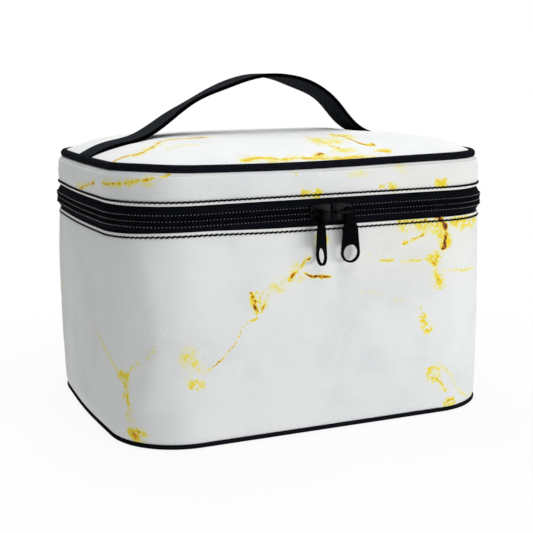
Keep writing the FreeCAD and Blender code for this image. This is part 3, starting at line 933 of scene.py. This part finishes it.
for name, body, height in (("hem_stitch_low", "base", HEM_STITCH_LOW),
                           ("hem_stitch_high", "lid", HEM_STITCH_HIGH)):
    spots = along_zip(STITCH_PITCH, height, 0.02 * MM, limit=HEM_END, sink=0.0)
    unit = stitch(*HEM_STITCH)
    slanted = places(unit)
    slanted[:, 2] += HEM_SLANT * slanted[:, 0]
    put(unit, slanted)
    dress(repeat_along(name, unit, spots), THREAD_BLACK, body, "zip_tape")


def dome_rise(inset):
    depth = kept((inset - RIM_INSET) / (HALF_DEPTH - RIM_INSET))
    return CROWN * (1 - (1 - depth) ** FULLNESS)


def strap_dent(x):
    """How deep the lying ends of the handle press into the padded lid."""
    right = kept((x - 50 * MM) / (12 * MM)) * kept((104 * MM - x) / (10 * MM))
    left = kept((-68 * MM - x) / (10 * MM)) * kept((x + 104 * MM) / (10 * MM))
    return 2.6 * MM * ease(right) + 0.5 * MM * left


AIR_PRESSURE = 4.0
BLOW_FRAMES = 20
BLOW_MOST = 2 * MM
CUSHION_THICK = 6 * MM
CUSHION_START = 0.82


def blow_up(piece, seam):
    """Cloth simulation: air swells the piece, which is held at its seam; gives how far each point went."""
    before = places(piece)
    piece.vertex_groups.new(name="seam").add(np.nonzero(seam)[0].tolist(), 1.0, "REPLACE")
    take_up(piece)
    cloth = piece.modifiers.new("cloth", "CLOTH")
    cloth.settings.vertex_group_mass = "seam"
    cloth.settings.use_pressure = True
    cloth.settings.uniform_pressure_force = AIR_PRESSURE
    cloth.settings.shrink_min = -0.004
    cloth.settings.effector_weights.gravity = 0.0
    for step in range(1, BLOW_FRAMES + 1):
        bpy.context.scene.frame_set(step)
    bpy.ops.object.modifier_apply(modifier=cloth.name)
    bpy.context.scene.frame_set(1)
    piece.vertex_groups.clear()
    return places(piece) - before


def lid_cushion():
    """Padded lid top: a slab, swollen as cloth is over its foam, with dents under the handle's ends."""
    piece = slab("lid_top", RIM_INSET - 1.2 * MM, RIM_Z, RIM_Z + CUSHION_THICK)
    use(piece, "REMESH", mode="VOXEL", voxel_size=4 * MM, use_smooth_shade=True)
    use(piece, "SMOOTH", factor=0.5, iterations=4)
    spots = places(piece)
    inset = np.maximum(plan_inset(spots[:, 0], spots[:, 1]), RIM_INSET)
    share = kept((spots[:, 2] - RIM_Z) / CUSHION_THICK)
    spots[:, 2] = RIM_Z + share * (CLOTH + CUSHION_START * dome_rise(inset))
    put(piece, spots)
    move = blow_up(piece, (share < 0.55) | (inset < RIM_INSET + 1.5 * MM))
    far = np.maximum(np.linalg.norm(move, axis=1), 1e-9)
    spots += move * (BLOW_MOST * np.tanh(far / BLOW_MOST) / far)[:, None]
    tall = spots[:, 2].max() - RIM_Z
    spots[:, 2] = RIM_Z + (spots[:, 2] - RIM_Z) * (CLOTH + CROWN) / tall
    beside = kept((25 * MM - np.abs(spots[:, 1])) / (11 * MM))
    beside *= kept((np.abs(spots[:, 0]) - 45 * MM) / (12 * MM))
    pressed = RIM_Z + share * (CLOTH + dome_rise(inset) - strap_dent(spots[:, 0]))
    spots[:, 2] += (pressed - spots[:, 2]) * ease(beside)
    put(piece, spots)
    use(piece, "SUBSURF", levels=1, render_levels=1)
    smooth(piece, 60)
    return piece


lid_top = lid_cushion()
dress(lid_top, MARBLE_TOP, "lid", "print_cloth", "lid_top_cloth", "lid_top_foam")


def plate(name, inset, low, high, edge=0.2 * MM):
    """Flat sheet with the plan of the case and rounded edges."""
    piece = slab(name, inset, low, high)
    round_edges(piece, edge)
    smooth(piece)
    return piece


BOTTOM_INSET = 3 * MM
bottom = plate("bottom_cloth", BOTTOM_INSET, 0, CLOTH, 0.3 * MM)
dress(bottom, BOTTOM_WEAVE, "base", "print_cloth", "bottom_panel")
body_lining = wall_ring("body_lining_cloth", LINING_INSET, rows(4.2, 111.5, 30), LINING_THICK, COARSE)
dress(body_lining, LINING, "base", "lining", "body_lining")
FLOOR_INSET = 4.2 * MM
floor_lining = plate("floor_lining", FLOOR_INSET, 3.6 * MM, 4.2 * MM)
dress(floor_lining, LINING, "base", "lining", "bottom_lining")
band_lining = wall_ring("band_lining", LINING_INSET, rows(126, 142.9, 6), LINING_THICK, COARSE)
dress(band_lining, LINING, "lid", "lining", "lid_band_lining")
low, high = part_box("lid_top_lining")
ceiling_lining = plate("ceiling_lining", HALF_LENGTH - high.x, low.z, high.z)
dress(ceiling_lining, LINING, "lid", "lining", "lid_top_lining")


def edge_binding(name, height, drop, body, node):
    """Tape folded over a raw edge: flat on the edge, then down the inner side."""
    flat = 3.5 * MM
    piece = plan_face(name, 1.65 * MM, height)
    bpy.ops.mesh.inset(thickness=flat, use_even_offset=True)
    bpy.ops.mesh.delete(type="FACE")
    pick(piece, "edges", lambda e: e.is_boundary and plan_inset(
        *((e.verts[0].co + e.verts[1].co) / 2).xy) > 3 * MM)
    for share in (0.04, 0.32, 0.32, 0.32):
        extrude(0, 0, drop * share)
    close_outward()
    thicken(piece, 0.5 * MM, 0)
    round_edges(piece, 0.2 * MM, 2, 50)
    lay_run_map(piece, lambda p: p[:, 2] - plan_inset(p[:, 0], p[:, 1]))
    smooth(piece, 50)
    dress(piece, BINDING, body, "binding", node)


BINDING_LIFT = 0.3 * MM
edge_binding("body_binding", 111.8 * MM, -9.3 * MM, "base", "body_seam_binding")
low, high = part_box("lid_seam_binding")
edge_binding("lid_binding", low.z + BINDING_LIFT, high.z - low.z - BINDING_LIFT, "lid", "lid_seam_binding")


def hinge_strip(name, face_y, thick, low, high, material, slot, node):
    """Strip along the back between body and lid."""
    piece = basic("plane", name, (2 * HINGE_HALF, high - low, 1), size=1,
                  location=(0, face_y, (low + high) / 2), rotation=(math.pi / 2, 0, 0))
    edit_mode()
    for axis, cuts in ((2, 15), (0, 32)):
        pick(piece, "edges", lambda e: span_of(e, axis) > MM)
        bpy.ops.mesh.subdivide(number_cuts=cuts)
    object_mode()
    if piece.data.polygons[0].normal.y < 0:
        piece.data.flip_normals()
    thicken(piece, thick)
    lay_run_map(piece, lambda p: p[:, 2])
    smooth(piece, 50)
    dress(piece, material, None, slot, node)
    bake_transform(piece)


INSIDE_GAP = 0.6 * MM
hinge_strip("hinge_cloth", HALF_DEPTH, CLOTH, BODY_TOP, LID_FOOT, MARBLE_SIDE, "print_cloth", "hinge_panel")
hinge_strip("hinge_inside", HALF_DEPTH - 4 * MM, 0.6 * MM, BODY_TOP + INSIDE_GAP, LID_FOOT - INSIDE_GAP,
            LINING, "lining", "hinge_lining")
upright = stitch(*HINGE_STITCH)
upright.data.transform(Matrix.Rotation(math.pi / 2, 4, "Y"))
spots = []
for x in (-HINGE_STITCH_X, HINGE_STITCH_X):
    for z in np.arange(BODY_TOP + 1.6 * MM, LID_FOOT, STITCH_PITCH):
        spots.append((Vector((x, HALF_DEPTH - 0.05 * MM, z)), Vector((0, 1, 0))))
hinge_stitch = dress(repeat_along("hinge_stitch", upright, spots), THREAD_BLACK, None, "zip_tape")
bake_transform(hinge_stitch)


def handle_knots():
    """Points in the XZ plane that the middle line of the webbing passes."""
    end = HALF_LENGTH - RIM_INSET - 0.6 * MM
    over = RIM_Z + CLOTH + STRAP_THICK / 2 + 0.2 * MM
    left = np.array([8 * MM - end, 17 * MM - end, 26 * MM - end])
    right = np.array([66 * MM, 79 * MM, 92 * MM, end - 6 * MM])
    lying, landing = [
        list(zip(x, over + dome_rise(HALF_LENGTH - abs(x)) - strap_dent(x))) for x in (left, right)]
    arch = [(-54, 168.9), (-28, 181.7), (3, 188.9), (22, 184.8), (42, 174), (54.5, 160.6)]
    arch = [(x * MM, z * MM) for x, z in arch]
    tuck = end + 1.2 * MM, RIM_Z + 0.8 * MM
    return np.array([(-tuck[0], tuck[1])] + lying + arch + landing + [tuck])


def smooth_line(knots, step):
    """Natural cubic spline through the knots, with a point about every step."""
    span = np.hypot(*np.diff(knots, axis=0).T)
    count = len(knots)
    grid = np.eye(count)
    rhs = np.zeros_like(knots)
    for k in range(1, count - 1):
        grid[k, k - 1:k + 2] = span[k - 1], 2 * (span[k - 1] + span[k]), span[k]
        rhs[k] = 6 * ((knots[k + 1] - knots[k]) / span[k] - (knots[k] - knots[k - 1]) / span[k - 1])
    bends = np.linalg.solve(grid, rhs)
    line = []
    for k in range(count - 1):
        for b in np.arange(0, 1, step / span[k]):
            a = 1 - b
            curve = (a ** 3 - a) * bends[k] + (b ** 3 - b) * bends[k + 1]
            line.append(a * knots[k] + b * knots[k + 1] + curve * span[k] ** 2 / 6)
    return np.array(line + [knots[-1]])


def webbing_handle():
    """One length of webbing: an edge as wide as the strap, drawn along the line of the handle."""
    line = smooth_line(handle_knots(), 2 * MM)
    steps = np.diff(line, axis=0)
    piece = basic("plane", "handle_webbing", size=2 * STRAP_HALF)
    edit_mode()
    pick(piece, "verts", lambda v: v.co.x > 0)
    bpy.ops.mesh.delete(type="VERT")
    select_whole()
    bpy.ops.transform.translate(value=(STRAP_HALF + line[0][0], 0, line[0][1]))
    bpy.ops.mesh.subdivide(number_cuts=11)
    select_whole()
    for x, z in steps:
        extrude(x, 0, z)
    object_mode()
    layer = piece.data.uv_layers.new(name="run")
    run = np.concatenate([[0], np.cumsum(np.hypot(*steps.T))])
    spots = places(piece)
    for corner in piece.data.loops:
        spot = spots[corner.vertex_index]
        near = np.argmin(np.hypot(line[:, 0] - spot[0], line[:, 1] - spot[2]))
        layer.data[corner.index].uv = (run[near], spot[1])
    twist = sum(1.5 * MM * np.exp(-((spots[:, 0] - x * MM) / (14 * MM)) ** 2) for x in (-44, 25))
    spots[:, 2] -= twist * spots[:, 1] / STRAP_HALF
    put(piece, spots)
    if piece.data.polygons[0].normal.z < 0:
        piece.data.flip_normals()
    thicken(piece, STRAP_THICK, 0)
    round_edges(piece, 0.55 * MM, 3, 50)
    smooth(piece, 50)
    dress(piece, WEBBING, None, "webbing", "handle_leg_left", "handle_strap", "handle_leg_right")
    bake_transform(piece)


webbing_handle()


def cube(name, low, high):
    low, high = Vector(low), Vector(high)
    return basic("cube", name, high - low, size=1, location=(low + high) / 2)


SLIDER_HALF = 6 * MM
NOSE_HALF = 4.8 * MM
TAIL_HALF = 3.7 * MM


def slider_plate(name, middle_x, way, near, far, edge):
    """Plate of a slider: wide at the nose, narrow at the tail."""
    piece = cube(name, (middle_x - SLIDER_HALF, near, ZIP_Z - NOSE_HALF),
                 (middle_x + SLIDER_HALF, far, ZIP_Z + NOSE_HALF))
    edit_mode()
    bpy.ops.mesh.bisect(plane_co=(middle_x + way * MM, 0, 0), plane_no=(1, 0, 0))
    pick(piece, "verts", lambda v: (v.co.x - middle_x) * way < -5 * MM)
    bpy.ops.transform.resize(value=(1, 1, TAIL_HALF / NOSE_HALF), center_override=(middle_x, near, ZIP_Z))
    pick(piece, "edges", lambda e: span_of(e, 1) > 0.5 * MM)
    bpy.ops.mesh.bevel(offset=1.1 * MM, segments=4, affect="EDGES")
    object_mode()
    round_edges(piece, edge, 3, 50)
    return piece


def slider_bridge(name, middle_x, foot, top):
    """Bent rod on the front of a slider, that holds the pull."""
    reach = 4.2 * MM
    start_clean()
    bpy.ops.curve.primitive_bezier_curve_add()
    curve = name_piece(name).data
    spline = curve.splines[0]
    spline.bezier_points.add(2)
    stops = [(-reach, foot), (-reach, top), (reach, top), (reach, foot)]
    for point, (x, y) in zip(spline.bezier_points, stops):
        point.co = (middle_x + x, y, ZIP_Z)
        point.handle_left_type = point.handle_right_type = "VECTOR"
    curve.bevel_depth = 0.75 * MM
    curve.bevel_resolution = 3
    curve.use_fill_caps = True
    bpy.ops.object.convert(target="MESH")
    return bpy.context.active_object


def slider_piece(name, middle_x, way, body):
    """Slider: front and back plate, web, lower flange and the bridge that holds the pull."""
    inner, outer, back = -89.2 * MM, -90.5 * MM, -85.6 * MM
    nose = middle_x + way * SLIDER_HALF
    parts = [slider_plate(name + "_front", middle_x, way, outer, inner, 0.4 * MM),
             slider_plate(name + "_back", middle_x, way, back, back + 1.3 * MM, 0.3 * MM)]
    for part, length, low, high, depth in (("_web", 4 * MM, -0.3 * MM, 0.3 * MM, back),
                                           ("_flange", 5 * MM, -NOSE_HALF, -3.9 * MM, inner + 2.4 * MM)):
        ends = sorted((nose - way * 0.3 * MM, nose - way * length))
        parts.append(cube(name + part, (ends[0], inner, ZIP_Z + low), (ends[1], depth, ZIP_Z + high)))
    parts.append(slider_bridge(name + "_bridge", middle_x, outer + 0.3 * MM, PULL_ROD_Y + 0.3 * MM))
    piece = join(name, parts)
    smooth(piece)
    dress(piece, SLIDER_ENAMEL, body, "enamel", body)


slider_piece("slider_left_piece", SLIDER_LEFT_X, 1, "slider_left")
slider_piece("slider_right_piece", SLIDER_RIGHT_X, -1, "slider_right")


def cut_or_add(piece, operation, radius, thick, height):
    """Takes a round plate that faces the front out of a piece, or adds it."""
    disc = basic("cylinder", "disc", vertices=48, radius=radius, depth=thick, location=(0, 0, height),
                 rotation=(math.pi / 2, 0, 0))
    use(piece, "BOOLEAN", operation=operation, object=disc, solver="EXACT")
    bpy.data.objects.remove(disc, do_unlink=True)


def pull_piece(name, node, eye_place, turn):
    """Pull: a tapered blade with an eye above and a round hole below; the edges are rounded over."""
    drop, tip, eye = 21.85 * MM, 5.35 * MM, 2.6 * MM
    thick = 1.4 * MM
    neck, shoulder = -5.1 * MM, -8.5 * MM
    piece = cube(name, (-eye, -thick / 2, -drop), (eye, thick / 2, 0))
    edit_mode()
    for height in (neck, shoulder):
        select_whole()
        bpy.ops.mesh.bisect(plane_co=(0, 0, height), plane_no=(0, 0, 1))
    for height, wide in ((shoulder, 4.1 * MM), (-drop, tip)):
        pick(piece, "verts", lambda v: abs(v.co.z - height) < 0.1 * MM)
        bpy.ops.transform.resize(value=(wide / eye, 1, 1), center_override=(0, 0, height))
    object_mode()
    cut_or_add(piece, "UNION", eye, thick, 0)
    cut_or_add(piece, "UNION", tip, thick, -drop)
    cut_or_add(piece, "DIFFERENCE", 1.2 * MM, 3 * thick, 0)
    cut_or_add(piece, "DIFFERENCE", 4.25 * MM, 3 * thick, -drop)
    round_edges(piece, 0.32 * MM, 3, 50)
    piece.rotation_euler = (0, 0, turn)
    piece.location = eye_place
    take_up(piece)
    apply_place()
    smooth(piece)
    dress(piece, ENAMEL, node, "enamel", node)


pull_piece("pull_left_piece", "pull_left", (PULL_LEFT_X, PULL_ROD_Y, ZIP_Z), math.pi / 2)
pull_piece("pull_right_piece", "pull_right", (PULL_RIGHT_X, PULL_RIGHT_Y, ZIP_Z), 0.0)

for node, body in (("bottom_board", "base"), ("lid_board", "lid")):
    low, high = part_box(node)
    board = plate(node + "_sheet", HALF_LENGTH - high.x, low.z, high.z)
    dress(board, BOARD, body, "stiffener", node)


def bow_ends(piece):
    """The soft ends of the case swell a little between their corners."""
    spots = places(piece)
    reach = kept((np.abs(spots[:, 0]) - 40 * MM) / (70 * MM))
    across = kept(1 - (spots[:, 1] / (66 * MM)) ** 2)
    spots[:, 0] += np.sign(spots[:, 0]) * 2 * MM * ease(reach) * across ** 2
    put(piece, spots)


def settle_front(piece, swells, foot, seam):
    """Lets the soft front edges dip and lift a little."""
    spots = places(piece)
    front = kept((-spots[:, 1] - 50 * MM) / (30 * MM))
    tall = kept((spots[:, 2] - foot) / (seam - foot))
    for at, wide, rise in swells:
        near = np.exp(-((spots[:, 0] - at * MM) / (wide * MM)) ** 2)
        spots[:, 2] += rise * MM * near * front * tall
    put(piece, spots)


# Swells of the front edges, in millimetres: place along the front, half width, rise.
LID_SWELLS = [(-15, 70, -1.6), (-105, 20, 0.9)]
BODY_SWELLS = [(-75, 35, 1.4)]
for piece in plan_pieces:
    bow_ends(piece)
    if places(piece)[:, 2].min() > ZIP_Z:
        settle_front(piece, LID_SWELLS, LID_FOOT + 2 * MM, LID_SEAM)
    elif not piece.name.startswith(("zip", "coil")):
        settle_front(piece, BODY_SWELLS, 90 * MM, BODY_TOP)


def white_ground(name, size, height):
    """Pale floor, seen white, that keeps a faint shadow of the case."""
    ground = basic("plane", name, size=size, location=(0, 0, height))
    finish = Finish(name)
    x, y = finish.split(finish.object)[:2]
    seen = (finish.any.seen() * ((x * x + y * y).rise(0.01, 0.10) * 0.09 + 0.91)).most(0.80)
    paper = finish.any.node("ShaderNodeBsdfDiffuse", None, {0: (0.85, 0.85, 0.85, 1)})
    glow = finish.any.node("ShaderNodeEmission")
    shown = finish.any.node("ShaderNodeMixShader", None, {0: seen, 1: paper, 2: glow})
    ground.data.materials.append(finish.show(shown))


def pale_world():
    """White to the eye, and a faint bluish light on the case."""
    world = bpy.data.worlds.new("studio")
    bpy.context.scene.world = world
    world.use_nodes = True
    tree = world.node_tree
    tree.nodes.clear()
    end = tree.nodes.new("ShaderNodeOutputWorld")
    any_node = Thread(tree)
    soft = any_node.node("ShaderNodeBackground", None, {0: (0.75, 0.94, 1.0, 1), 1: 0.05})
    white = any_node.node("ShaderNodeBackground", None, {0: (1, 1, 1, 1), 1: 1.0})
    shown = any_node.node("ShaderNodeMixShader", None, {0: any_node.seen(), 1: soft, 2: white})
    tree.links.new(shown.socket, end.inputs[0])


def lamp(name, place, target, size, power):
    """Oblong lamp that looks at a target."""
    turn = (Vector(target) - Vector(place)).to_track_quat("-Z", "Y").to_euler()
    bpy.ops.object.light_add(type="AREA", location=place, rotation=turn)
    light = name_piece(name).data
    light.shape = "RECTANGLE"
    light.size, light.size_y = size
    light.energy = power


def photo_camera(place, yaw, pitch, roll, focal, picture):
    """Camera at the photograph's place: angles in degrees, focal length and picture's width in pixels."""
    turn = Matrix.Identity(3)
    for angle, axis in ((-yaw, "Z"), (90 - pitch, "X"), (roll, "Z")):
        turn = turn @ Matrix.Rotation(math.radians(angle), 3, axis)
    bpy.ops.object.camera_add(location=place, rotation=turn.to_euler())
    camera = name_piece("photo_camera")
    camera.data.sensor_width = 36
    camera.data.lens = camera.data.sensor_width * focal / picture
    camera.data.clip_start = 0.01
    bpy.context.scene.camera = camera


white_ground("floor", 12, -0.05 * MM)
pale_world()
lamp("top_lamp", (0.02, 0.0, 1.3), (0.02, 0, 0.1), (0.7, 2.4), 21.2)
lamp("right_lamp", (0.62, -0.78, 0.11), (0.05, -0.05, 0.06), (0.6, 0.2), 3.4)
lamp("front_lamp", (-0.3, -1.4, 0.3), (0, 0, 0.08), (0.9, 0.5), 0.45)
photo_camera((-0.2504, -0.597, 0.1923), 22.90, 10.23, -0.63, 1092.8, 533)
bpy.context.scene.view_settings.view_transform = "Standard"
